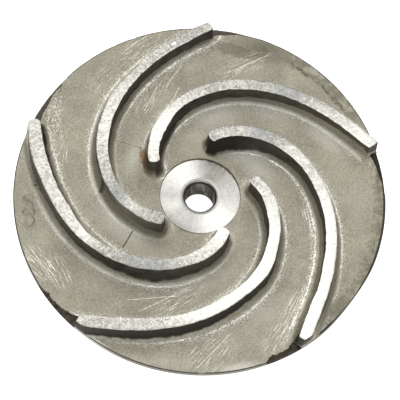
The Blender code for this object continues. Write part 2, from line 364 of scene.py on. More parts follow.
def blade_centreline(number, shorter=0.0, steps=SIDE_STEPS):
    """Points (x, y) at even spacing from the inner end to the tip, and their distances along the blade.

    The turn per radius is the cotangent of the blade angle over the radius, summed inwards from the tip.
    """
    tip_radius = VANE_TIP_RADIUS + TIP_EXTENSIONS[number]
    radius = np.linspace(VANE_INNER_RADIUS, tip_radius, 4 * steps)
    slope = 1.0 / (radius * np.tan(blade_angle(radius)))
    travel = np.append(np.cumsum((np.diff(radius) * (slope[1:] + slope[:-1]) / 2)[::-1])[::-1], 0.0)
    travel -= np.interp(VANE_TIP_RADIUS, radius, travel)
    bow = VANE_BOWS[number] * np.sin(np.linspace(0.0, np.pi, len(radius)))
    start = FIRST_TIP_ANGLE + number * 360.0 / VANE_COUNT + VANE_TURNS[number]
    angle = np.radians(start + bow) + travel
    x, y = radius * np.cos(angle), radius * np.sin(angle)
    length = np.append(0.0, np.cumsum(np.hypot(np.diff(x), np.diff(y))))
    even = np.linspace(0.0, length[-1] - shorter, steps)
    return np.column_stack((np.interp(even, length, x), np.interp(even, length, y))), even


def directions_along(centre):
    """Unit vectors along a line of points, and those to its left."""
    along = np.gradient(centre, axis=0)
    along /= np.linalg.norm(along, axis=1)[:, None]
    return along, np.column_stack((-along[:, 1], along[:, 0]))


def half_thickness(place, length):
    """Half a vane's thickness at a place along it."""
    return np.interp(place, (0.0, length), (VANE_THICKNESS_INNER / 2, VANE_THICKNESS_TIP / 2))


def bulges(number, side, distance):
    """Extra half width along a top's edge: raised cosines about the places in EDGE_BULGES."""
    extra = 0 * distance
    for vane_number, edge, middle, reach, amount in EDGE_BULGES:
        if (vane_number, edge) == (number, side):
            extra = extra + amount * raised_cosine(np.abs(distance * 1000 - middle) / reach)
    return extra


def vane_outline(number):
    """Closed outline of a vane's ground top: out along its outer side, round the tip and back.

    The sides are the centreline offset by half the thickness plus an unevenness along the edge. The ends are
    superellipses: along = length cos^p, across = half sin^p. Near the tip each side strays by its own amount.
    Point i and point N-1-i face each other.
    """
    tip_length, power, slant = TIP_LENGTHS[number], TIP_ROUNDNESS[number], TIP_SLANTS[number]
    centre, distance = blade_centreline(number, shorter=tip_length)
    along, left = directions_along(centre)
    half = half_thickness(distance, distance[-1])
    near_tip = np.clip(1.0 - (distance[-1] - distance) / STRAY_LENGTH, 0.0, 1.0) ** 1.5
    bend = np.radians((np.arange(END_STEPS) + 0.5) * 90.0 / END_STEPS)
    sides = []
    for side in (1.0, -1.0):
        seed = SEED_BLADE_EDGE + 2 * number + (side < 0)
        line = np.column_stack((distance, np.zeros((len(distance), 2))))
        stray = OUTER_STRAYS[number] if side > 0 else -HUB_SIDE_STRAYS[number]
        width = half + near_tip * stray + bulges(number, side, distance)
        for count, (wave, size) in enumerate(EDGE_WAVES):
            width = width + size * roughness_of(line, wave, seed + 100 * count)
        edge = centre + side * left * width[:, None]
        nose = centre[0] - along[0] * NOSE_LENGTH * np.cos(bend)[:, None]
        nose = nose + side * left[0] * (width[0] * np.sin(bend))[:, None]
        across = width[-1] * np.sin(bend[::-1]) ** power
        out = tip_length * np.cos(bend[::-1]) ** power + slant * side * across
        tip = centre[-1] + along[-1] * out[:, None] + side * left[-1] * across[:, None]
        lean = np.clip((distance - distance[-1]) / LEAN_LENGTH + 1, 0, 1) ** 2 * slant * side * width[-1]
        sides.append(np.vstack((nose, edge + along * lean[:, None], tip)))
    return np.vstack((sides[0], sides[1][::-1]))


def ground_height(points):
    """Height of the cone that the vane tops are ground to, with the little that the wheel left uneven."""
    radius = np.linalg.norm(points[..., :2], axis=-1)
    fall = (VANE_HEIGHT_TIP - VANE_HEIGHT_INNER) / (VANE_TIP_RADIUS - VANE_INNER_RADIUS)
    cone = FACE_Z + VANE_HEIGHT_INNER + fall * (radius - VANE_INNER_RADIUS)
    flat = np.stack((points[..., 0], points[..., 1], 0 * radius), axis=-1)
    wave, size = TOP_WAVE
    return cone - TOP_INSET + size * roughness_of(flat, wave, SEED_TOP)


def fillet_radii(number, share):
    """Radii of the outer and the hub side's fillet, in metres, at a share of the way from nose to tip.

    Both meet at their mean round the nose.
    """
    stations = np.linspace(0.0, 1.0, len(OUTER_FILLETS[number]))
    outer = np.interp(share, stations, OUTER_FILLETS[number]) / 1000
    inner = np.interp(share, stations, HUB_SIDE_FILLETS[number]) / 1000
    blend = np.clip(share / NOSE_BLEND, 0, 1)
    mean = (outer + inner) / 2
    return mean + (outer - mean) * blend, mean + (inner - mean) * blend


def vane(number):
    """One vane: its cross-section carried round the outline of its top.

    From the top edge inwards to outwards: a small rounding, a drafted wall, a fillet whose toe dips under the
    disc's face, and a foot inside the disc. The top is a grid between facing points of the outline.
    """
    outline = vane_outline(number)
    count = len(outline)
    travel = np.roll(outline, -1, axis=0) - np.roll(outline, 1, axis=0)
    travel /= np.linalg.norm(travel, axis=1)[:, None]
    outward = np.column_stack((-travel[:, 1], travel[:, 0]))

    centre, distance = blade_centreline(number)
    nearest = np.argmin(np.linalg.norm(outline[:, None] - centre[None], axis=-1), axis=1)
    along = distance[nearest]
    outer, inner = fillet_radii(number, along / distance[-1])
    fall = np.clip((distance[-1] - along) / FILLET_FALL_TIP, 0, 1)
    fillet = np.where(np.arange(count) < count // 2, outer, inner)
    fillet = fillet * (FILLET_LEAST_TIP + (1 - FILLET_LEAST_TIP) * fall)

    top = ground_height(outline)
    rounding = np.radians(np.array([90.0, 60.0, 30.0, 0.0]))
    offsets = [GROUND_EDGE * (np.cos(a) - 1) + 0 * top for a in rounding]
    heights = [top - GROUND_EDGE * (1 - np.sin(a)) for a in rounding]
    wall_top = top - GROUND_EDGE
    wall_foot = FACE_Z - FILLET_DIP + fillet
    foot = DRAFT * (wall_top - wall_foot)
    for share in WALL_ROWS:
        offsets.append(foot * share)
        heights.append(wall_top + (wall_foot - wall_top) * share)
    for a in np.radians(np.linspace(0.0, 90.0, FILLET_STEPS)):
        offsets.append(foot + fillet * (1 - np.cos(a)))
        heights.append(wall_foot - fillet * np.sin(a))
    offsets.append(foot + FOOT_SPREAD * fillet)
    heights.append(0 * top + FACE_Z - FOOT_UNDER_FACE)
    offsets.append(SOLE_SPREAD * foot)
    heights.append(0 * top + BACK_Z + FOOT_OVER_BACK)

    offsets, heights = np.array(offsets), np.array(heights)
    flat = outline[None] + outward[None] * offsets[..., None]
    points = np.concatenate((flat, heights[..., None]), axis=-1)
    wave, size = WALL_WAVE
    lumps = size * roughness_of(points, wave, SEED_WALL + number)
    lumps *= np.clip((top - points[..., 2]) / WALL_WAVE_FADE, 0, 1)
    points[..., :2] += outward[None] * lumps[..., None]
    radius = np.linalg.norm(points[..., :2], axis=-1)
    points[..., :2] *= np.minimum(1.0, LARGEST_RADIUS / radius)[..., None]
    points[0, :, 2] = ground_height(points[0])

    rings = len(points)
    ids = np.arange(rings * count).reshape(rings, count)
    wall = cells(np.pad(ids, ((0, 0), (0, 1)), mode="wrap"))[:, ::-1]
    half = count // 2
    one, other = ids[0, :half], ids[0, :half - 1:-1]
    share = np.linspace(0.0, 1.0, TOP_CELLS + 1)[None, 1:-1, None]
    ring = points[0]
    inside = ring[one[1:-1], None] * (1 - share) + ring[other[1:-1], None] * share
    inside[..., 2] = ground_height(inside)
    new_ids = points.size // 3 + np.arange(inside.size // 3).reshape(inside.shape[:2])
    grid = np.column_stack((one[1:-1], new_ids, other[1:-1]))
    ends = [[other[0], *grid[0][::-1], one[0]], [one[-1], *grid[-1], other[-1]]]
    sole = cells(np.column_stack((ids[-1, :half], ids[-1, :half - 1:-1])))

    faces = wall.tolist() + cells(grid)[:, ::-1].tolist()
    faces += [[int(n) for n in end] for end in ends] + sole.tolist()
    finishes = np.full(len(faces), GROUND)
    finishes[3 * count : len(wall)] = FLANK
    finishes[-len(sole) :] = FLANK
    return np.vstack((points.reshape(-1, 3), inside.reshape(-1, 3))), faces, finishes


def hollow(number):
    """One scoop out of the rim's front edge: a section carried back along the rim from its vane's tip.

    The section goes down the inner wall and out along the floor as a superellipse, inwards = cos^p and
    down = sin^p, then closes past the rim. Its reach and its floor are made ragged by unevenness.
    """
    behind, reaches = np.array(HOLLOW_REACHES[number]).T
    depth, clear = HOLLOW_DEPTHS[number], HOLLOW_CLEARANCE
    lag = np.linspace(behind[-1], behind[0], HOLLOW_STEPS[0])[:, None]
    angle = np.radians(FIRST_TIP_ANGLE + number * 360.0 / VANE_COUNT - lag)
    bend = np.linspace(0.0, np.pi / 2, HOLLOW_STEPS[1])[None]
    inwards, down = np.cos(bend) ** HOLLOW_ROUNDNESS[0], np.sin(bend) ** HOLLOW_ROUNDNESS[1]

    rim = angle[:, 0]
    line = around(DISC_RADIUS, rim, 0 * rim)
    seed = SEED_HOLLOW + number
    waves = enumerate(HOLLOW_EDGE_WAVES)
    ragged = sum(share * roughness_of(line, wave, seed + 10 * n) for n, (wave, share) in waves)
    reach = np.interp(lag, behind[::-1], reaches[::-1]) + HOLLOW_RAGGEDNESS[number] * ragged[:, None]
    reach = np.clip(reach, HOLLOW_LEAST_REACH, None)
    radius = DISC_RADIUS - reach * inwards
    height = FACE_Z - depth * down + 0 * lag
    floor = around(radius, angle, height)
    wave, size = HOLLOW_FLOOR_WAVE
    height = height + size * roughness_of(floor, wave, seed + 20) * np.sin(bend)

    past = 0 * lag + DISC_RADIUS + clear
    radius = np.hstack((past, DISC_RADIUS - reach, radius, past))
    height = np.hstack((0 * lag + FACE_Z + clear, 0 * lag + FACE_Z + clear, height, height[:, -1:]))
    points = around(radius, angle, height)
    ids = np.arange(radius.size).reshape(radius.shape)
    faces = cells(np.pad(ids, ((0, 0), (0, 1)), mode="wrap"))[:, ::-1].tolist()
    faces += [ids[0, ::-1].tolist(), ids[-1].tolist()]
    return points.reshape(-1, 3), faces, np.full(len(faces), HOLLOW)


def gathered(name, shapes):
    """Several separate closed shapes as one mesh."""
    points, faces, finishes, count = [], [], [], 0
    for shape_points, shape_faces, shape_finishes in shapes:
        faces += [[n + count for n in face] for face in shape_faces]
        points.append(shape_points)
        finishes.append(shape_finishes)
        count += len(shape_points)
    return new_piece(name, np.vstack(points), faces, np.concatenate(finishes))


def combine(piece, operation, tool):
    """Adds a Boolean of the tool to the piece."""
    change = piece.modifiers.new(operation.title(), "BOOLEAN")
    change.operation = operation
    change.solver = "EXACT"
    change.object = tool


def read_all(items, name, width, kind):
    """One property of all a mesh's items, as a numpy array."""
    values = np.empty(len(items) * width, kind)
    items.foreach_get(name, values)
    return values if width == 1 else values.reshape(-1, width)


def drop_folded_slivers(mesh):
    """Takes out slivers that the Boolean leaves folded: two triangles back to back on the same corners."""
    work = bmesh.new()
    work.from_mesh(mesh)
    bmesh.ops.triangulate(work, faces=[face for face in work.faces if len(face.verts) > 4])
    work.to_mesh(mesh)
    first = read_all(mesh.polygons, "loop_start", 1, np.int32)
    triangles = np.flatnonzero(read_all(mesh.polygons, "loop_total", 1, np.int32) == 3)
    corners = read_all(mesh.loops, "vertex_index", 1, np.int32)
    corners = np.sort(corners[first[triangles][:, None] + np.arange(3)], axis=1)
    _, group, times = np.unique(corners, axis=0, return_inverse=True, return_counts=True)
    work.faces.ensure_lookup_table()
    folded = [work.faces[n] for n in triangles[times[group.ravel()] > 1]]
    bmesh.ops.delete(work, geom=folded, context="FACES")
    work.to_mesh(mesh)
    work.free()


def blade_places(points):
    """For each point its place along and across the nearest blade, its distances from that blade's wall and
    from the toe of its fillet, all in mm, and the blade's number.

    Each point takes the nearest point of each centreline, and what is left over along and to the left of it;
    past either end the way round the end is counted.
    """
    best = np.full(len(points), 1e9)
    places = np.zeros((len(points), 4))
    numbers = np.zeros(len(points))
    for number in range(VANE_COUNT):
        centre, distance = blade_centreline(number, steps=MEASURING_STEPS)
        along, left = directions_along(centre)
        nearest = np.concatenate([
            np.argmin(((block[:, None, :2] - centre[None]) ** 2).sum(-1), axis=1)
            for block in np.array_split(points, 1 + len(points) // POINTS_AT_ONCE)
        ])
        rest = points[:, :2] - centre[nearest]
        ahead = (rest * along[nearest]).sum(-1)
        across = (rest * left[nearest]).sum(-1)
        before, past = nearest == 0, nearest == len(centre) - 1
        over = np.clip(-ahead, 0, None) * before + np.clip(ahead, 0, None) * past
        wall = np.hypot(across, over) - half_thickness(distance[nearest], distance[-1])
        closer = wall < best
        best = np.where(closer, wall, best)
        numbers = np.where(closer, number, numbers)
        outer, inner = fillet_radii(number, distance[nearest] / distance[-1])
        toe = wall - TOE_REACH - np.where(across > 0, outer, inner)
        mine = np.column_stack((distance[nearest] + ahead, across, wall, toe))
        places = np.where(closer[:, None], mine, places)
    return places * 1000, numbers.astype(int)


# How bright each vane's top is painted, a painted reflection over the ground steel's own tone: distance from
# its inner end in mm, brightness
TOP_SHEEN_TONES = (
    ((0, 0.42), (10, 0.56), (22, 0.69), (56, 0.71), (64, 0.57), (73, 0.40), (98, 0.36)),
    ((0, 0.38), (10, 0.37), (17, 0.23), (22, 0.30), (30, 0.56), (38, 0.45), (50, 0.62), (98, 0.76)),
    ((0, 0.54), (12, 0.68), (20, 0.58), (34, 0.35), (46, 0.39), (62, 0.27), (74, 0.39), (90, 0.62)),
    ((0, 0.20), (11, 0.40), (18, 0.15), (24, 0.29), (42, 0.55), (58, 0.48), (68, 0.38), (86, 0.34)),
    ((0, 0.68), (8, 0.52), (18, 0.40), (27, 0.15), (44, 0.22), (53, 0.58), (62, 0.47), (76, 0.42)),
)
# Where heat blued them: vane, middle and half length in mm, strength
BLUED = (
    (1, 17, 5, 0.7),
    (2, 62, 6, 0.8),
    (3, 17, 5, 0.7),
    (3, 88, 8, 0.5),
    (4, 28, 9, 0.8),
)


def top_sheen_tone(numbers, along):
    """Painted reflection and tone of the nearest vane's top, between the values set along it."""
    tones = [np.interp(along, *np.array(row).T) for row in TOP_SHEEN_TONES]
    return np.choose(numbers, tones)


# How each side of a vane's foot looks, for the outer and the hub side, at places in mm from the inner end:
# how high above the face in mm the painted shade and grime of the wall end, how light the fillet is painted
# below it (-1 to 1: a painted reflection when high, painted shade and grime in the fillet when low), how
# bright its worn toe is, and how black the wall's painted shade and grime are
FOOT_LOOKS = (
    (
        ((0, 1.5, 0.1, 0.5, 0.2), (20, 1.6, 0.1, 0.5, 0.1), (28, 1.7, 0.3, 0.5, 0.5),
         (44, 1.2, 0.4, 0.9, 0.9), (60, 0.3, 0.4, 0.9, 1.1), (84, 0.1, 0.2, 0.5, 1.2),
         (94, 0.3, 0.4, 0.3, 1.3), (98, 0.0, 0.0, 0.1, 1.3)),
        ((0, 2.6, 0.2, 0.1, 0.4), (12, 2.0, 0.3, 0.3, 0.1), (28, 1.0, 0.2, 0.5, 0.3),
         (98, 1.0, 0.2, 0.7, 0.3)),
    ),
    (
        ((0, 1.0, -0.2, 0.0, 0.3), (12, 1.0, 0.1, 0.4, 0.3), (50, 3.0, 0.0, 0.6, 0.2),
         (66, 3.5, 0.0, 0.6, 0.0), (74, 1.0, 0.1, 0.4, 0.0), (86, 0.6, 0.0, 0.3, 0.1),
         (94, 2.0, 0.2, 0.5, 0.1), (98, 0.5, -0.3, 0.1, 0.8)),
        ((0, 0.0, -0.9, 0.0, 1.0), (9, 0.0, -0.6, 0.5, 0.8), (14, 0.2, -0.1, 0.9, 0.6),
         (20, 0.6, 0.1, 1.0, 0.5), (28, 1.6, 0.3, 0.9, 0.4), (60, 2.4, 0.4, 1.0, 0.3),
         (94, 2.6, 0.1, 0.7, 0.5), (98, 0.0, -0.6, 0.2, 0.9)),
    ),
    (
        ((0, 2.2, 0.1, 0.1, 0.2), (20, 1.6, 0.3, 0.6, 0.1), (90, 1.0, 0.1, 0.8, 0.3),
         (98, 0.5, -0.2, 0.1, 0.8)),
        ((0, 0.0, -0.9, 0.6, 0.4), (14, 0.0, -1.1, 0.5, 0.5), (22, 0.4, -0.4, 1.0, 0.6),
         (30, 1.4, 0.8, 1.0, 0.6), (44, 2.0, 0.9, 1.0, 0.35), (60, 2.6, 0.95, 1.0, 0.25),
         (76, 3.4, 0.9, 0.9, 0.3), (94, 4.0, 0.8, 0.6, 0.2), (98, 0.0, -0.5, 0.0, 0.6)),
    ),
    (
        ((0, 2.4, 0.1, 0.1, 0.0), (12, 3.4, 0.8, 0.3, -0.5), (36, 3.4, 0.7, 0.6, -0.2),
         (98, 2.0, 0.1, 0.7, 0.0)),
        ((0, 1.0, 0.1, 0.4, 0.3), (44, 1.0, 0.0, 0.3, 0.1), (60, 1.0, 0.0, 0.6, 0.4),
         (70, 1.1, 0.3, 0.8, 0.4), (78, 1.0, 0.6, 1.0, 0.4), (94, 1.0, 0.7, 0.9, 0.5),
         (98, 0.5, 0.1, 0.6, 0.8)),
    ),
    (
        ((0, 1.4, 0.2, 0.1, 0.0), (12, 1.2, 0.7, 0.4, 0.3), (20, 0.6, 1.0, 0.6, 0.4),
         (27, 0.2, 0.8, 0.9, 0.5), (40, 1.0, 0.7, 0.5, 0.7), (54, 1.2, 0.5, 0.4, 0.6),
         (68, 1.2, 0.6, 0.4, 0.3), (76, 0.5, 0.2, 0.1, 0.1), (86, 0.9, 0.1, 0.2, 0.0),
         (95, 2.5, 0.3, 0.1, 0.0)),
        ((0, 1.0, 0.1, 0.5, 0.3), (44, 0.8, 0.0, 0.5, 0.4), (60, 0.4, -0.2, 0.4, 0.5),
         (84, 0.3, -0.3, 0.6, 0.6), (98, 0.0, -0.7, 0.2, 0.9)),
    ),
)


def foot_look(numbers, along, across):
    """The values of FOOT_LOOKS for each point, between the values set along its side of its vane."""
    looks = np.zeros((len(along), 4))
    for number, sides in enumerate(FOOT_LOOKS):
        for side, table in zip((across > 0, across <= 0), sides):
            mine = side & (numbers == number)
            places, *values = np.array(table).T
            looks[mine] = np.column_stack([np.interp(along[mine], places, value) for value in values])
    return looks


def blued(numbers, along):
    """Sum of rounded patches: each fades as a raised cosine from its middle to twice its half length."""
    total = np.zeros(len(along))
    for number, middle, half, strength in BLUED:
        total += (numbers == number) * strength * raised_cosine(np.abs(along - middle) / (2.0 * half))
    return total


# Painted light (+) that lifts the face out of the shade beside the vanes, and darker stains (-): centre and
# half size in mm, the turn of the long side in degrees, amount
PAINTED_LIGHT_AND_STAINS = (
    ((5.0, 30.5), (15.0, 8.0), 14.0, 0.42),
    ((24.0, 31.0), (17.0, 5.5), -14.0, 0.38),
    ((42.0, 22.0), (14.0, 5.0), -40.0, 0.42),
    ((18.5, 13.0), (13.0, 8.0), -50.0, 0.48),
    ((11.0, 15.0), (8.0, 5.0), 0.0, 0.35),
    ((29.0, 14.0), (7.0, 5.0), -60.0, 0.25),
    ((-24.5, -12.0), (16.0, 6.5), -38.0, 0.50),
    ((2.0, -29.0), (20.0, 6.0), 14.0, 0.14),
    ((20.7, -40.8), (11.0, 9.0), 20.0, 0.22),
    ((51.6, -2.9), (5.0, 13.0), 0.0, 0.12),
    ((12.0, -60.0), (9.0, 3.0), 10.0, 0.55),
    ((-8.0, 50.0), (11.0, 4.5), 30.0, 0.20),
    ((-12.0, -58.5), (30.0, 4.0), -4.0, 0.10),
    ((-21.5, 14.0), (5.0, 11.0), -20.0, 0.26),
    ((22.0, 54.0), (16.0, 8.0), -22.0, -0.72),
    ((-45.5, -26.0), (13.0, 11.0), -40.0, -0.25),
    ((60.4, 10.5), (2.2, 9.5), -8.0, -0.95),
    ((-51.0, 25.5), (3.0, 6.0), 10.0, -0.50),
    ((54.5, -24.5), (4.5, 16.0), 24.0, -0.12),
)


def painted_light_and_stains(points):
    """Sum of soft ovals on the face: each a raised cosine of the distance counted in its half sizes."""
    total = np.zeros(len(points))
    for centre, size, turn, amount in PAINTED_LIGHT_AND_STAINS:
        x, y = (points[:, :2] * 1000 - centre).T
        c, s = np.cos(np.radians(turn)), np.sin(np.radians(turn))
        total += amount * raised_cosine(np.hypot((x * c + y * s) / size[0], (y * c - x * s) / size[1]))
    return total


def write_vectors(mesh, name, vectors):
    """Three values for each point of the mesh, under a name that the finishes read."""
    layer = mesh.attributes.new(name, "FLOAT_VECTOR", "POINT")
    layer.data.foreach_set("vector", vectors.astype(np.float32).ravel())


def cast_impeller(finishes):
    """The body and the vanes made one, less the hollows in the rim, with its measures for the finishes."""
    body = turned_body()
    vanes = gathered("vanes", [vane(number) for number in range(VANE_COUNT)])
    scoops = gathered("scoops", [hollow(number) for number in range(VANE_COUNT)])
    for piece in (body, vanes, scoops):
        for finish in finishes:
            piece.data.materials.append(finish)
    combine(body, "UNION", vanes)
    combine(body, "DIFFERENCE", scoops)
    bpy.context.view_layer.update()
    graph = bpy.context.evaluated_depsgraph_get()
    mesh = bpy.data.meshes.new_from_object(body.evaluated_get(graph))
    mesh.name = "impeller_casting"
    for piece in (body, vanes, scoops):
        bpy.data.objects.remove(piece)
    drop_folded_slivers(mesh)
    mesh.shade_smooth()
    mesh.set_sharp_from_angle(angle=np.radians(SHARP_ANGLE))

    points = read_all(mesh.vertices, "co", 3, np.float32).astype(float)
    places, numbers = blade_places(points)
    along, across, wall, toe = places.T
    dark_ends, foot_highlight, toe_wear, blackness = foot_look(numbers, along, across).T
    measures = {
        "blade": (along, across, wall),
        "grind_and_sheen": (top_sheen_tone(numbers, along), blued(numbers, along), toe),
        "foot": (dark_ends, foot_highlight, toe_wear),
        "shade_and_soil": (blackness, wall, painted_light_and_stains(points)),
    }
    for name, parts in measures.items():
        write_vectors(mesh, name, np.column_stack(parts))
    piece = bpy.data.objects.new("impeller_casting", mesh)
    bpy.context.scene.collection.objects.link(piece)
    return piece


# --- finishes ------------------------------------------------------------------------------------------


def maths_method(operation, swapped=False):
    """A method of Value that adds one Math node, with the two values the other way round if swapped."""

    def method(self, *other):
        return self.maths(operation, *((*other, self) if swapped else (self, *other)))

    return method


class Value:
    """A socket of a finish's nodes. Arithmetic on it adds the Math nodes."""

    def __init__(self, finish, socket):
        self.finish = finish
        self.socket = socket

    def maths(self, operation, *values):
        return self.finish.node("ShaderNodeMath", {"operation": operation}, dict(enumerate(values)))

    __add__, __radd__ = maths_method("ADD"), maths_method("ADD", swapped=True)
    __sub__, __rsub__ = maths_method("SUBTRACT"), maths_method("SUBTRACT", swapped=True)
    __mul__, __rmul__ = maths_method("MULTIPLY"), maths_method("MULTIPLY", swapped=True)
    __truediv__, __rtruediv__ = maths_method("DIVIDE"), maths_method("DIVIDE", swapped=True)
    __pow__, __rpow__ = maths_method("POWER"), maths_method("POWER", swapped=True)
    size = maths_method("ABSOLUTE")
    larger = maths_method("MAXIMUM")
    smaller = maths_method("MINIMUM")


class Finish:
    """A material built in Python: one Principled shader, fed by expressions on millimetre coordinates."""

    def __init__(self, name):
        self.material = bpy.data.materials.new(name)
        self.material.use_nodes = True
        self.tree = self.material.node_tree
        self.shader = self.tree.nodes["Principled BSDF"]
        self.noises = {}
        place = self.node("ShaderNodeTexCoord", {}, {}, "Object")
        scaled = {"Vector": place, "Scale": 1000.0}
        self.mm = self.node("ShaderNodeVectorMath", {"operation": "SCALE"}, scaled)
        self.x, self.y, self.z = self.split(self.mm)
        self.radius = (self.x * self.x + self.y * self.y) ** 0.5
        self.angle = self.x.maths("ARCTAN2", self.y, self.x) * float(np.degrees(1.0))

    def node(self, kind, settings, inputs, output=0):
        """Any node from its type: the settings first, then its inputs; gives the output."""
        made = self.tree.nodes.new(kind)
        for name, value in settings.items():
            setattr(made, name, value)
        for name, value in inputs.items():
            self.feed(self.found(made.inputs, name), value)
        return Value(self, self.found(made.outputs, output))

    @staticmethod
    def found(sockets, name):
        if isinstance(name, int):
            return sockets[name]
        return next(s for s in sockets if name in (s.identifier, s.name) and s.enabled)

    def feed(self, socket, value):
        if isinstance(value, Value):
            self.tree.links.new(value.socket, socket)
        else:
            socket.default_value = value

    def split(self, vector):
        """The three parts of a vector."""
        parts = self.node("ShaderNodeSeparateXYZ", {}, {0: vector})
        return [Value(self, out) for out in parts.socket.node.outputs]

    def joined(self, x, y, z=0.0):
        return self.node("ShaderNodeCombineXYZ", {}, {0: x, 1: y, 2: z})

    def attribute(self, name):
        return self.split(self.node("ShaderNodeAttribute", {"attribute_name": name}, {}, "Vector"))

    def noise(self, per_mm, detail=2.0, roughness=0.5, where=None):
        """Noise of about 0 to 1 at this many waves a millimetre. The same noise is made only once."""
        key = (where, per_mm, detail, roughness)
        if key not in self.noises:
            values = {"Vector": where or self.mm, "Scale": per_mm, "Detail": detail, "Roughness": roughness}
            self.noises[key] = self.node("ShaderNodeTexNoise", {}, values, "Fac")
        return self.noises[key]

    def laid(self, where, centre, turn, size):
        """Coordinates centred on a place, turned in degrees, and counted in a patch's half sizes."""
        rotation = (0.0, 0.0, float(np.radians(turn)))
        values = {"Vector": where, "Location": centre, "Rotation": rotation, "Scale": size}
        return self.node("ShaderNodeMapping", {"vector_type": "TEXTURE"}, values)

    def spots(self, low, high, *noise):
        """1 where a noise is over high and 0 where it is under low."""
        return self.step(self.noise(*noise), low, high)

    def step(self, value, low, high):
        """0 up to low and 1 from high on, smoothly."""
        values = {0: value, 1: low, 2: high, 3: 0.0, 4: 1.0}
        return self.node("ShaderNodeMapRange", {"interpolation_type": "SMOOTHSTEP"}, values)

    def between(self, value, start, full, still, end):
        """1 from full to still, falling to 0 at start and at end."""
        return self.step(value, start, full) * (1.0 - self.step(value, still, end))

    def near(self, value, middle, width):
        """1 at the middle, falling to 0 a width away on both sides."""
        return 1.0 - self.step((value - middle).size(), 0.0, width)

    def mix(self, factor, *colours):
        """From the first colour to the second as the factor goes from 0 to 1."""
        one, other = [colour if isinstance(colour, Value) else (*colour, 1.0) for colour in colours]
        values = {"Factor_Float": factor, "A_Color": one, "B_Color": other}
        return self.node("ShaderNodeMix", {"data_type": "RGBA"}, values, "Result_Color")

    def patch(self, centre, turn, size, ragged=0.35, per_mm=0.8):
        """Soft-edged oval on the face, its edge broken by noise."""
        local = self.laid(self.mm, (*centre, 0.0), turn, (*size, 1000.0))
        away = self.node("ShaderNodeVectorMath", {"operation": "LENGTH"}, {0: local}, "Value")
        torn = away + ragged * (self.noise(per_mm, 3.0) - 0.5) * 2.0
        return 1.0 - self.step(torn, 0.55, 1.0)

    def line(self, start, end, width, wander=0.3):
        """Thin line on the face from start to end, straying a little."""
        middle = [(a + b) / 2 for a, b in zip(start, end)]
        reach = [b - a for a, b in zip(start, end)]
        half = float(np.hypot(*reach)) / 2
        turn = float(np.degrees(np.arctan2(reach[1], reach[0])))
        along, across, _ = self.split(self.laid(self.mm, (*middle, 0.0), turn, (1.0, 1.0, 1.0)))
        across = across + wander * (self.noise(0.35, 3.0) - 0.5) * 2.0
        return self.near(across, 0.0, width) * (1.0 - self.step(along.size(), half * 0.8, half))

    def scratches(self, centre, turn, size, rarity=0.63, fineness=6.4, length=7.0):
        """Group of fine parallel scratches inside a soft oval."""
        streaks = self.laid(self.mm, (*centre, 0.0), turn, (length, 1.0 / fineness, 1000.0))
        lines = self.step(self.noise(1.0, 1.0, where=streaks), rarity - 0.015, rarity + 0.04)
        return lines * self.patch(centre, turn, size, 0.2, 0.3)

    def sheen(self, tone, places):
        """The tone with the sheens at these angles, as turned steel shows in the light."""
        for angle, width, amount in places:
            tone = tone + self.near(self.angle, angle, width) * amount
        return tone

    def lay(self, colour, share):
        """Lays this share of a colour over the finish's colour."""
        self.colour = self.mix(share, self.colour, colour)

    def shade(self, roughness, metallic, height, **constants):
        """Sets the shader and gives the material. Height is in mm and bends the normal."""
        self.feed(self.shader.inputs["Base Color"], self.colour)
        self.feed(self.shader.inputs["Roughness"], roughness)
        self.feed(self.shader.inputs["Metallic"], metallic)
        for name, value in constants.items():
            self.shader.inputs[name.replace("_", " ").title()].default_value = value
        relief = {"Strength": 1.0, "Distance": 0.001, "Height": height}
        self.feed(self.shader.inputs["Normal"], self.node("ShaderNodeBump", {}, relief))
        return self.material


CENTRE = (0.0, 0.0, 0.0)

# Colours, linear red, green and blue
CAST_LIGHT = (0.565, 0.530, 0.420)
CAST_MIDDLE = (0.41, 0.385, 0.302)
CAST_DARK = (0.290, 0.272, 0.209)
CAST_GREEN = (0.375, 0.370, 0.285)
CAST_BROWN = (0.410, 0.370, 0.300)
GRIME_AND_SHADE = (0.100, 0.087, 0.060)
WALL_SHADE_AND_GRIME = (0.088, 0.078, 0.056)
PIT_AND_EDGE_SHADE_BLACK = (0.045, 0.038, 0.026)
SOOT_AND_SHADE = (0.016, 0.013, 0.008)
WORN_STEEL = (0.94, 0.925, 0.85)
GROUND_WHITE = (1.0, 0.985, 0.91)
GROUND_GREY = (0.255, 0.248, 0.210)
GROUND_SPECK = (0.16, 0.150, 0.120)
BLUE_STEEL = (0.375, 0.38, 0.385)
SEAT_WHITE = (0.60, 0.592, 0.560)
SEAT_GREY = (0.195, 0.190, 0.162)
RUST = (0.27, 0.155, 0.065)
STAIN = (0.130, 0.117, 0.076)
HOLLOW_DARK = (0.045, 0.036, 0.025)
HOLLOW_SKIN = (0.140, 0.116, 0.083)
PAINTED_LIGHT_STEEL = (0.96, 0.94, 0.86)
NICK_WHITE = (0.98, 0.98, 0.95)
TURNED_DARK = (0.26, 0.250, 0.222)
TURNED_LIGHT = (0.62, 0.61, 0.58)
RIM_DARK = (0.085, 0.077, 0.058)
THREAD_ROOT = (0.055, 0.049, 0.040)
THREAD_CREST = (0.55, 0.53, 0.48)
LEAD_IN_STEEL = (0.80, 0.79, 0.74)

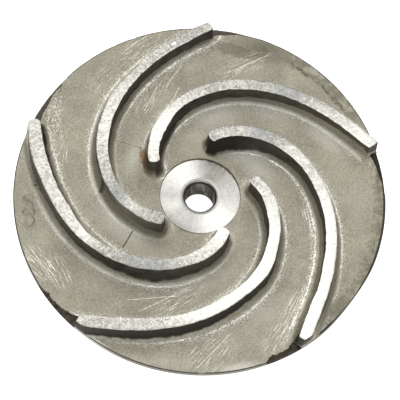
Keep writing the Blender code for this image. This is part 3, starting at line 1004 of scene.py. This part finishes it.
# Marks on the face: centre in mm, the turn of the long side in degrees, half size in mm, how ragged,
# and where given the waves a mm of the raggedness
RUST_PATCH = ((-18.4, 12.4), 104.0, (5.2, 1.9), 0.6)
LAST_VANE_PIT = ((-15.2, 9.6), 60.0, (2.8, 2.0), 0.35)
RIM_PITS = ((-54.2, 5.2), 105.0, (5.5, 2.2), 0.6)
NOSE_SMUDGE = ((-32.4, 1.6), 60.0, (2.0, 1.3), 0.6)
FLASH_DUST = ((-49.6, 25.0), 76.0, (14.0, 3.4), 0.5)
TOP_STAIN = ((12.0, 54.0), -16.0, (11.0, 3.0), 0.6, 0.4)
LOW_STAIN = ((44.0, -39.0), 50.0, (7.0, 2.2), 0.6, 0.4)
LOW_PITS = ((-20.0, -53.5), -8.0, (9.0, 2.6), 0.6)
CAST_LUMPS = ((-56.8, -7.0), 92.0, (9.5, 2.5), 0.5)
TOP_NICK = ((-8.7, 52.5), 30.0, (1.3, 0.7), 0.5, 1.0)
# Fine lines on it: start and end in mm, width, how far they stray
SEAM = ((-27.4, 19.4), (-17.6, 16.2), 0.22, 0.5)
CRACK = ((-21.0, -10.4), (-25.9, -19.3), 0.24, 0.15)
FLASH_LINES = (
    ((-46.8, 38.9), (-48.3, 30.9), 0.22, 0.8),
    ((-48.3, 30.9), (-50.0, 26.4), 0.22, 0.8),
)
# Places by angle in degrees, or radius in mm: middle and half width
TIP_DUST = ((59.0, 1.9), (13.0, 9.0))
WORN_RIM = (-127.0, 14.0)
WORN_RIM_EDGE = (-125.5, 8.0)
SHALLOW_HOLLOWS = ((78.0, 20.0), (146.0, 22.0))
DARK_HOLLOW = (7.0, 13.0)
SEAT_WORN_SIDE = (-130.0, 55.0)
SEAT_SHADED_SIDE = (58.0, 62.0)
SPILL_EDGE = (58.2, 1.0)
RIGHT_STAIN_EDGE = (58.4, 0.9)
MOUTH_EDGES = ((5.88, 0.12), (6.42, 0.14))
# Where no painted shade and dirt lie under the seat's lip: the angle, and how far it is clear and dark again
# to each side
SEAT_OPEN_SIDE = -127.0
SEAT_OPEN_REACH = (20.0, 38.0)
# Where something begins, by radius in mm: from nothing at the first to full at the second
RIGHT_STAIN_FROM = (57.6, 60.4)
SPILL_FROM = (57.6, 58.8)
RIM_FROM = (59.0, 60.5)
RIM_EDGE_FROM = (60.7, 61.1)
RIM_EDGE_SHADE_FROM = (61.50, 61.72)
SEAT_WORN_FROM = (10.2, 13.2)
SEAT_LIP_FROM = (13.18, 13.36)
THREAD_ROOT_FROM = (4.95, 5.25)
# The same by height in mm
FRONT_FROM = (11.0, 12.0)
LEAD_IN_FROM = (10.90, 11.10)
HOLLOW_EDGE_FROM = (12.05, 12.3)
# Strokes of the grinding wheel on the vane tops: direction in degrees, scale in mm along and across
STROKES = (62.0, (3.0, 0.26, 1.0))
CROSS_STROKES = (118.0, (2.4, 0.3, 1.0))
# Sheen (+) and shade (-) of the seat and of the mouth: angle and width in degrees, amount
MOUTH_SHEENS = ((128.0, 70.0, 0.2), (-5.0, 50.0, 0.3))
SEAT_SHEENS = (
    (128.0, 54.0, 0.55),
    (-54.0, 58.0, 0.66),
    (-162.0, 20.0, 0.25),
    (60.0, 52.0, -0.42),
    (-110.0, 45.0, -0.05),
)
# Stained parts of the rim: the angles where the stain starts, is full, is still full and ends
STAINED_RIGHT = (-62.0, -48.0, 6.0, 16.0)
STAINED_UPPER_RIGHT = (22.0, 32.0, 54.0, 64.0)

# Groups of fine scratches on the face: centre in mm, direction in degrees, half size in mm, rarity
SCRATCH_GROUPS = (
    ((-53.0, -24.5), -47.0, (10.0, 5.0), 0.60),
    ((-46.5, -27.5), -62.0, (9.0, 4.5), 0.60),
    ((30.0, -41.0), 66.0, (13.0, 4.5), 0.585),
    ((24.0, -50.5), 58.0, (9.0, 5.0), 0.63),
    ((-15.0, 38.5), 62.0, (14.0, 5.5), 0.635),
    ((-7.0, -36.5), 30.0, (12.0, 4.0), 0.61),
    ((36.3, -9.0), -80.0, (9.0, 2.6), 0.58),
    ((16.0, 48.5), 26.0, (13.0, 4.5), 0.625),
    ((3.0, -55.0), 48.0, (11.0, 9.0), 0.635),
    ((-48.0, 12.0), 80.0, (14.0, 5.0), 0.62),
    ((-20.0, 54.0), 38.0, (12.0, 4.5), 0.63),
    ((-33.0, 42.0), 50.0, (10.0, 4.0), 0.65),
)
# Single long scratches: start and end in mm
LONG_SCRATCHES = (
    ((-19.0, 29.7), (-13.8, 40.5)),
    ((-10.0, 41.4), (-5.4, 48.6)),
    ((-6.5, 40.0), (-9.8, 33.0)),
    ((8.6, 44.6), (25.1, 52.8)),
    ((12.0, 45.9), (21.7, 51.4)),
    ((-25.1, 52.9), (-20.7, 56.8)),
    ((-57.1, -17.5), (-48.4, -30.2)),
    ((-58.6, -19.3), (-46.7, -29.7)),
    ((35.2, -2.7), (37.1, -15.3)),
    ((25.2, -50.2), (32.9, -34.1)),
    ((-21.3, -41.4), (-2.4, -32.0)),
    ((-24.9, -37.1), (-7.0, -35.5)),
    ((-2.3, -60.8), (9.8, -47.8)),
)


def mould_skin(f):
    """Gives the finish the colour of a casting from the mould, made of four noises, which are the result."""
    mottle = f.noise(0.075, 3.0)
    cloud = f.noise(0.30, 3.0)
    sand = f.noise(1.3, 4.0, 0.7)
    grit = f.noise(3.2, 1.0)
    tone = 0.5 + (mottle - 0.5) * 0.8 + (cloud - 0.5) * 0.35 + (sand - 0.5) * 1.35 + (grit - 0.5) * 1.3
    f.colour = f.mix(f.step(tone, 0.0, 1.0), CAST_DARK, CAST_LIGHT)
    for tint, low, high, per_mm in ((CAST_GREEN, 0.50, 0.66, 0.11), (CAST_BROWN, 0.50, 0.64, 0.17)):
        f.lay(tint, f.spots(low, high, per_mm, 2.0) * 0.30)
    return mottle, cloud, sand, grit


def skin_relief(cloud, sand, grit):
    """Height in mm of a casting's skin, from its noises."""
    return (sand - 0.5) * 0.07 + (grit - 0.5) * 0.05 + (cloud - 0.5) * 0.10


def dark_marks(f):
    """Pits at a vane's inner end and by the rim, a smudge on the fillet of another vane, and a seam."""
    pit = f.patch(*LAST_VANE_PIT)
    pits = f.patch(*RIM_PITS) * f.spots(0.48, 0.56, 1.3, 4.0, 0.7)
    smudge = f.patch(*NOSE_SMUDGE)
    seam = f.line(*SEAM)
    return pits.larger(pit * 0.85).larger(smudge * 0.85).larger(seam * 0.55)


def rust(f, sand):
    """Rust beside one vane's inner end."""
    return f.patch(*RUST_PATCH) * (0.6 + sand * 0.8)


def worn_toe(f, toe_away, toe_wear):
    """How bright the metal is worn along the toes of the fillets: a beaded line and dust beside it."""
    wobble = (f.noise(0.30, 2.0) - 0.5) * 1.0 + (f.noise(1.3, 1.0) - 0.5) * 0.5
    beads = f.spots(0.42, 0.56, 2.1, 1.0) * 0.75 + 0.25
    line = f.near(toe_away + wobble, 0.10, 0.50) * beads * f.spots(0.34, 0.46, 0.45, 2.0)
    dust = f.near(toe_away + wobble, 0.60, 1.8) * f.spots(0.53, 0.64, 3.2, 1.0)
    return line.larger(dust * 0.75) * toe_wear * 1.5


def cast_skin():
    """Grey cast stainless: sandy grain, worn lines along the fillets' toes, scratches, stains and rust."""
    f = Finish("cast_skin")
    _, cloud, sand, grit = mould_skin(f)
    on_front = f.step(f.z, *FRONT_FROM)
    specks = f.step(grit, 0.68, 0.76) * f.spots(0.50, 0.62, 0.17, 2.0) * 0.5
    scratched = f.scratches(*SCRATCH_GROUPS[0])
    for group in SCRATCH_GROUPS[1:]:
        scratched = scratched.larger(f.scratches(*group))
    for start, end in LONG_SCRATCHES:
        scratched = scratched.larger(f.line(start, end, 0.13, 0.15))
    scratched = scratched * (0.55 + 0.55 * f.spots(0.38, 0.58, 2.1, 1.0))
    toe_away = f.attribute("grind_and_sheen")[2]
    _, foot_highlight, toe_wear = f.attribute("foot")
    toe = worn_toe(f, toe_away, toe_wear)
    light_and_stain = f.attribute("shade_and_soil")[2]
    # Painted light lifts the face where light_and_stain is above 0; below 0 it is stained
    f.lay(PAINTED_LIGHT_STEEL, light_and_stain.larger(0.0) * on_front * (0.7 + sand * 0.6))
    f.lay(STAIN, (0.0 - light_and_stain).larger(0.0) * on_front * (cloud + sand))
    # Painted reflection on the fillets' feet, out to the worn toe line
    painted_apron = foot_highlight.larger(0.0) * (1.0 - f.step(toe_away + (sand - 0.5) * 1.6, 0.1, 1.0))
    f.lay(PAINTED_LIGHT_STEEL, painted_apron * on_front * (0.45 + (grit - 0.5) * 1.2))
    flash_dust = f.step(grit, 0.52, 0.66) * f.patch(*FLASH_DUST)
    tip_dust = f.step(grit, 0.50, 0.62) * f.near(f.radius, *TIP_DUST[0]) * f.near(f.angle, *TIP_DUST[1])
    flash_dust = flash_dust.larger(tip_dust)
    bright = specks.larger(scratched).larger(toe).larger(flash_dust * 0.8)
    bright = bright.larger(f.near(f.angle, *WORN_RIM_EDGE) * f.step(f.radius, *RIM_EDGE_FROM) * 0.8)
    f.lay(WORN_STEEL, bright * on_front * 0.9)

    torn = 3.6 * (cloud - 0.5) + 2.6 * (sand - 0.5)
    right_side = f.between(f.angle, *STAINED_RIGHT)
    broken = f.spots(0.42, 0.58, 0.7, 2.0)
    right_stain = f.step(f.radius + torn, *RIGHT_STAIN_FROM) * right_side * (0.35 + 0.65 * broken)
    upper_side = f.between(f.angle, *STAINED_UPPER_RIGHT)
    spill = f.step(f.radius + torn, *SPILL_FROM) * f.spots(0.36, 0.56, 0.45, 3.0)
    spill_edge = f.near(f.radius + torn, *SPILL_EDGE) * (0.5 + 0.5 * broken)
    top_stain = f.patch(*TOP_STAIN)
    low_stain = f.patch(*LOW_STAIN)
    right_edge = f.near(f.radius + torn, *RIGHT_STAIN_EDGE) * right_side * broken
    upper_stain = (spill * 0.5).larger(spill_edge) * upper_side
    soot = (right_stain * 0.6).larger(upper_stain).larger(right_edge * 0.45)
    soot = soot.larger(top_stain * 0.45).larger(low_stain * 0.5)
    f.lay(STAIN, soot * on_front)

    f.lay(RUST, rust(f, sand) * 0.9 * on_front)
    crack = f.line(*CRACK)
    flash = f.line(*FLASH_LINES[0]).larger(f.line(*FLASH_LINES[1]))
    low_pits = f.patch(*LOW_PITS) * f.spots(0.66, 0.72, 1.9, 1.0)
    swell = f.noise(0.26, 1.0)
    mound = f.patch(*CAST_LUMPS)
    # Painted shadow at the lumps' edges, beside the bump that raises them
    lump_side_shade = mound * f.near(swell, 0.52, 0.03) * f.step(cloud, 0.47, 0.58)
    dark_spots = dark_marks(f).larger(crack * 0.75).larger(flash * 0.42)
    dark_spots = dark_spots.larger(low_pits * 0.55).larger(lump_side_shade * 0.15)
    # Painted shade: a dark broken line along the rim's front edge
    rim_edge_shade = f.step(f.radius + right_side * 0.50, *RIM_EDGE_SHADE_FROM)
    rim_edge_shade = rim_edge_shade * f.spots(0.22, 0.36, 0.2, 3.0)
    dirt_and_rim_shade = dark_spots.larger(rim_edge_shade) * on_front
    f.lay(PIT_AND_EDGE_SHADE_BLACK, dirt_and_rim_shade)

    height = skin_relief(cloud, sand, grit) + mound * (swell - 0.5) * 1.8 - crack * 0.2
    roughness = 0.58 - bright * 0.18 + (grit - 0.5) * 0.1
    return f.shade(roughness, 0.62 + bright * 0.3 - dirt_and_rim_shade * 0.3, height)


def vane_flank():
    """Vane walls and fillets: painted shade and grime high on the wall, a painted reflection at its foot, and
    the worn toe.
    """
    f = Finish("vane_flank")
    mottle, cloud, sand, grit = mould_skin(f)
    blackness, wall, light_and_stain = f.attribute("shade_and_soil")
    toe_away = f.attribute("grind_and_sheen")[2]
    dark_ends, foot_highlight, toe_wear = f.attribute("foot")
    toe = worn_toe(f, toe_away, toe_wear)

    in_fillet = 1.0 - f.step(toe_away, -0.2, 0.8)
    down_fillet = f.step(toe_away, -1.6, 0.1)
    # Painted reflection down the fillet, where foot_highlight is above 0
    painted_highlight = foot_highlight.larger(0.0) * down_fillet * (1.0 + (grit - 0.5) * 1.2 + (sand - 0.5) * 0.8)
    # Painted light on the fillet from the face's painted light areas
    painted_highlight = painted_highlight.larger(light_and_stain.larger(0.0) * f.step(toe_away, -2.6, -0.4))
    # Painted shade with some dirt in the fillet's corner, where the fillet is not painted light
    shade_and_dirt = (0.12 - foot_highlight).larger(0.0) * in_fillet * (0.6 + (sand - 0.5) * 1.2)
    f.lay(PAINTED_LIGHT_STEEL, painted_highlight)
    f.lay(WORN_STEEL, toe * 0.9)
    f.lay(RUST, rust(f, sand) * 0.8)
    f.lay(GRIME_AND_SHADE, shade_and_dirt)
    f.lay(STAIN, (0.0 - light_and_stain).larger(0.0))
    marks = dark_marks(f)
    f.lay(PIT_AND_EDGE_SHADE_BLACK, marks * 0.9)
    shade_and_dirt = shade_and_dirt.larger(marks)

    # Painted shade with grime on the wall, up to dark_ends above the face, blacker where blackness is high
    torn = (cloud - 0.5) * 1.4 + (sand - 0.5) * 0.8
    wall_shade = f.step(f.z - FACE_Z * 1000 - dark_ends + torn, -0.1, 0.8) * (1.0 - f.step(wall, 1.2, 2.4))
    black = f.step(blackness + (cloud - 0.5) * 0.9 + (mottle - 0.5) * 0.6, 0.0, 1.0)
    f.lay(WALL_SHADE_AND_GRIME, wall_shade * (0.9 + blackness.smaller(0.0)))
    f.lay(SOOT_AND_SHADE, wall_shade * black * 0.9)
    metallic = 0.62 + toe * 0.3 - wall_shade.larger(shade_and_dirt) * 0.4
    roughness = 0.58 + (grit - 0.5) * 0.1 - toe * 0.15 + wall_shade * 0.22
    return f.shade(roughness, metallic, skin_relief(cloud, sand, grit))


def ground_top():
    """Vane tops ground back: bright steel painted with a reflection along each, slanting wheel strokes, dark
    specks and blued patches.
    """
    f = Finish("ground_top")
    along, across, _ = f.attribute("blade")
    # The first value is the painted reflection and tone set along each top
    bright, blue, _ = f.attribute("grind_and_sheen")
    plane = f.joined(along, across)
    strokes = f.noise(1.0, 2.0, where=f.laid(plane, CENTRE, *STROKES))
    cross_strokes = f.noise(1.0, 1.0, where=f.laid(plane, CENTRE, *CROSS_STROKES))
    patches = f.noise(0.35, 3.0)
    grain = f.noise(3.0, 2.0)
    blotches = f.noise(0.9, 3.0, 0.6)
    spread = (strokes - 0.5) * 0.60 + (cross_strokes - 0.5) * 0.40 + (patches - 0.5) * 0.40
    spread = spread + (grain - 0.5) * 1.0 + (blotches - 0.5) * 0.90
    tone = bright + spread * (1.15 - bright * 0.6)
    f.colour = f.mix(tone, GROUND_GREY, GROUND_WHITE)
    blued_here = f.step(blue + (patches - 0.5) * 0.9, 0.2, 0.8)
    f.lay(BLUE_STEEL, blued_here * 0.6)
    specks = f.spots(0.60, 0.70, 1.8, 2.0) * (1.0 - f.step(bright, 0.45, 0.72))
    f.lay(GROUND_SPECK, specks * 0.5)
    f.lay(NICK_WHITE, f.patch(*TOP_NICK))
    height = (strokes - 0.5) * 0.05 + (grain - 0.5) * 0.03 - specks * 0.06
    roughness = 0.36 + (1.0 - f.step(tone, 0.0, 0.8)) * 0.14
    return f.shade(roughness, 0.9, height)


def turned_seat():
    """Faced seat: rings left by the tool, a two-lobed sheen, and a greyer, grainier side."""
    f = Finish("turned_seat")
    rings = f.noise(5.0, 3.0, 0.7, f.joined(f.radius, 0.0))
    wander = f.noise(0.5, 3.0)
    grain = f.noise(3.0, 2.0)
    rays = f.noise(0.22, 3.0, 0.6, f.joined(f.angle, 0.0))
    worn = f.step(f.radius + (wander - 0.5) * 4.0, *SEAT_WORN_FROM) * f.near(f.angle, *SEAT_WORN_SIDE)
    tone = 0.52 + (rings - 0.5) * 0.60 + (wander - 0.5) * 0.30 + (rays - 0.5) * 0.55 + (grain - 0.5) * 0.8
    tone = f.sheen(tone, SEAT_SHEENS) - worn * (0.20 + (grain - 0.5) * 1.8)
    f.colour = f.mix(tone, SEAT_GREY, SEAT_WHITE)
    pits = f.spots(0.64, 0.72, 2.2, 1.0) * f.step(f.noise(0.3, 1.0) + worn * 0.2, 0.42, 0.6)
    f.lay(GRIME_AND_SHADE, pits * 0.55)
    # Painted shade with some dirt in the corner under the seat's lip: wider on one side, left out on another
    lip_shade_spread = f.near(f.angle, *SEAT_SHADED_SIDE) * 0.62 * f.spots(0.34, 0.52, 1.2, 1.0)
    open_side = 1.0 - f.step((f.angle - SEAT_OPEN_SIDE).size(), *SEAT_OPEN_REACH)
    lip = f.step(f.radius + lip_shade_spread, *SEAT_LIP_FROM) * (1.0 - open_side)
    f.lay(GRIME_AND_SHADE, lip * 0.9)
    height = (rings - 0.5) * 0.015 + (grain - 0.5) * 0.01
    return f.shade(0.32 + worn * 0.1, 0.95, height, anisotropic=0.5)


def turned_steel():
    """Rim, hub and chamfers as turned: fine rings and a soft sheen. The rim is darker but for one worn arc."""
    f = Finish("turned_steel")
    rings = f.noise(4.0, 3.0, 0.7, f.joined(f.radius, f.z))
    wander = f.noise(0.2, 3.0)
    tone = 0.6 + (rings - 0.5) * 0.7 + (wander - 0.5) * 0.7
    f.colour = f.mix(f.step(tone, 0.1, 1.0), TURNED_DARK, TURNED_LIGHT)
    on_rim = f.step(f.radius, *RIM_FROM)
    bright_arc = f.near(f.angle, *WORN_RIM)
    f.lay(RIM_DARK, on_rim * (0.9 - bright_arc * 0.9))
    return f.shade(0.36 + (wander - 0.5) * 0.1, 0.9, (rings - 0.5) * 0.02, anisotropic=0.4)


def faced_mouth():
    """Shallow step round the bore: turned like the seat, a shade darker, with a line at each edge."""
    f = Finish("faced_mouth")
    rings = f.noise(6.0, 2.0, 0.7, f.joined(f.radius, 0.0))
    wander = f.noise(0.6, 2.0)
    tone = f.sheen(1.15 + (rings - 0.5) * 0.8 + (wander - 0.5) * 0.5, MOUTH_SHEENS)
    f.colour = f.mix(tone, SEAT_GREY, SEAT_WHITE)
    inner, outer = [f.near(f.radius, *edge) for edge in MOUTH_EDGES]
    edges = inner.larger(outer * 0.55)
    f.lay(GRIME_AND_SHADE, edges)
    return f.shade(0.36, 0.85, (rings - 0.5) * 0.02)


def cut_thread():
    """Thread in the bore: dark steel, darker still in its roots."""
    f = Finish("cut_thread")
    wander = f.noise(0.6, 3.0)
    crest = 1.0 - f.step(f.radius, *THREAD_ROOT_FROM)
    tone = (crest * 1.1 + (wander - 0.5) * 0.4).larger(0.0)
    f.colour = f.mix(tone, THREAD_ROOT, THREAD_CREST)
    lead_in = f.step(f.z, *LEAD_IN_FROM)
    f.lay(LEAD_IN_STEEL, lead_in * 0.8)
    return f.shade(0.36, 0.75, (wander - 0.5) * 0.05)


def raw_hollow():
    """Hollows in the rim: dark rough skin straight from the mould, with painted shade: greyer where they are
    shallow.
    """
    f = Finish("raw_hollow")
    lumps = f.noise(0.9, 4.0)
    grain = f.noise(3.5, 2.0)
    f.colour = f.mix(f.step(lumps * 0.6 + grain * 0.4, 0.35, 0.75), HOLLOW_DARK, HOLLOW_SKIN)
    # Painted shade: lighter in the shallow hollows and at the top edge, darker in one hollow
    one, other = SHALLOW_HOLLOWS
    shallow = f.near(f.angle, *one).larger(f.near(f.angle, *other))
    f.lay(CAST_DARK, shallow * 0.25)
    edge = f.step(f.z, *HOLLOW_EDGE_FROM)
    f.lay(CAST_MIDDLE, edge * 0.35)
    f.lay(SOOT_AND_SHADE, f.near(f.angle, *DARK_HOLLOW) * 0.6)
    return f.shade(0.75, 0.2, lumps * 0.25 + grain * 0.08)


# --- stage ---------------------------------------------------------------------------------------------

IMAGE_SIDE = 400.0
SENSOR_WIDTH = 36.0
FOCAL_PIXELS = 2206.75
CAMERA_PLACE = (-0.03992, -0.27844, 0.68934)
CAMERA_TURN = (22.236, -3.1175, -0.6128)
FLOOR_HALF = 1.6
FLOOR_Z = -0.0001
FLOOR_GREY = 0.85
FLOOR_GLOW = 0.85
LIT_PLACE = (0.0, 0.0, 0.01)
LIGHT_UPRIGHT = (0.0, 1.0, 0.2)
KEY_POWER = 12.5
KEY_SIZE = (1.6, 1.3)
KEY_PLACE = (-0.03, 0.42, 1.20)
FILL_POWER = 8.0
FILL_SIZE = (1.6, 1.0)
FILL_PLACE = (0.0, -1.15, 0.50)
AMBIENT = (0.14, 0.14, 0.138, 1.0)


def set_camera():
    """The camera at the photo's viewing angle and distance."""
    data = bpy.data.cameras.new("camera")
    data.sensor_width = SENSOR_WIDTH
    data.lens = FOCAL_PIXELS * data.sensor_width / IMAGE_SIDE
    data.clip_start = 0.01
    camera = bpy.data.objects.new("camera", data)
    camera.location = CAMERA_PLACE
    camera.rotation_euler = [float(np.radians(angle)) for angle in CAMERA_TURN]
    bpy.context.scene.collection.objects.link(camera)
    bpy.context.scene.camera = camera


def soft_light(name, place, size, power):
    """A rectangle of light at a place, facing the impeller."""
    data = bpy.data.lights.new(name, "AREA")
    data.shape = "RECTANGLE"
    data.size, data.size_y = size
    data.energy = power
    light = bpy.data.objects.new(name, data)
    toward = np.array(place) - np.array(LIT_PLACE)
    toward = toward / np.linalg.norm(toward)
    side = np.cross(LIGHT_UPRIGHT, toward)
    side = side / np.linalg.norm(side)
    turn = np.eye(4)
    turn[:3, :3] = np.column_stack((side, np.cross(toward, side), toward))
    turn[:3, 3] = place
    light.matrix_world = Matrix(turn.tolist())
    bpy.context.scene.collection.objects.link(light)


def pale_floor():
    """A plain white table under the impeller, which glows a little so that it stays white."""
    sides = (-1, -1), (1, -1), (1, 1), (-1, 1)
    corners = np.array([(x * FLOOR_HALF, y * FLOOR_HALF, FLOOR_Z) for x, y in sides])
    floor = new_piece("floor", corners, [[0, 1, 2, 3]], [0])
    f = Finish("white_table")
    glow = f.shader.inputs
    glow["Base Color"].default_value = (FLOOR_GREY, FLOOR_GREY, FLOOR_GREY, 1.0)
    glow["Roughness"].default_value = 0.9
    glow["Specular IOR Level"].default_value = 0.0
    glow["Emission Color"].default_value = (1.0, 1.0, 1.0, 1.0)
    glow["Emission Strength"].default_value = FLOOR_GLOW
    floor.data.materials.append(f.material)


def light_studio():
    """One large soft light above and behind, a low one in front, and an even grey around."""
    soft_light("key", KEY_PLACE, KEY_SIZE, KEY_POWER)
    soft_light("front_fill", FILL_PLACE, FILL_SIZE, FILL_POWER)
    world = bpy.data.worlds.new("studio")
    world.use_nodes = True
    world.node_tree.nodes["Background"].inputs["Color"].default_value = AMBIENT
    bpy.context.scene.world = world
    bpy.context.scene.view_settings.view_transform = "Standard"
    bpy.context.scene.view_settings.look = "None"


# In the order of the material slots
finish_makers = (
    cast_skin, vane_flank, ground_top, turned_seat, turned_steel, cut_thread, raw_hollow, faced_mouth
)
casting = cast_impeller([make() for make in finish_makers])
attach(casting, "root")
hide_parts("impeller")
pale_floor()
set_camera()
light_studio()
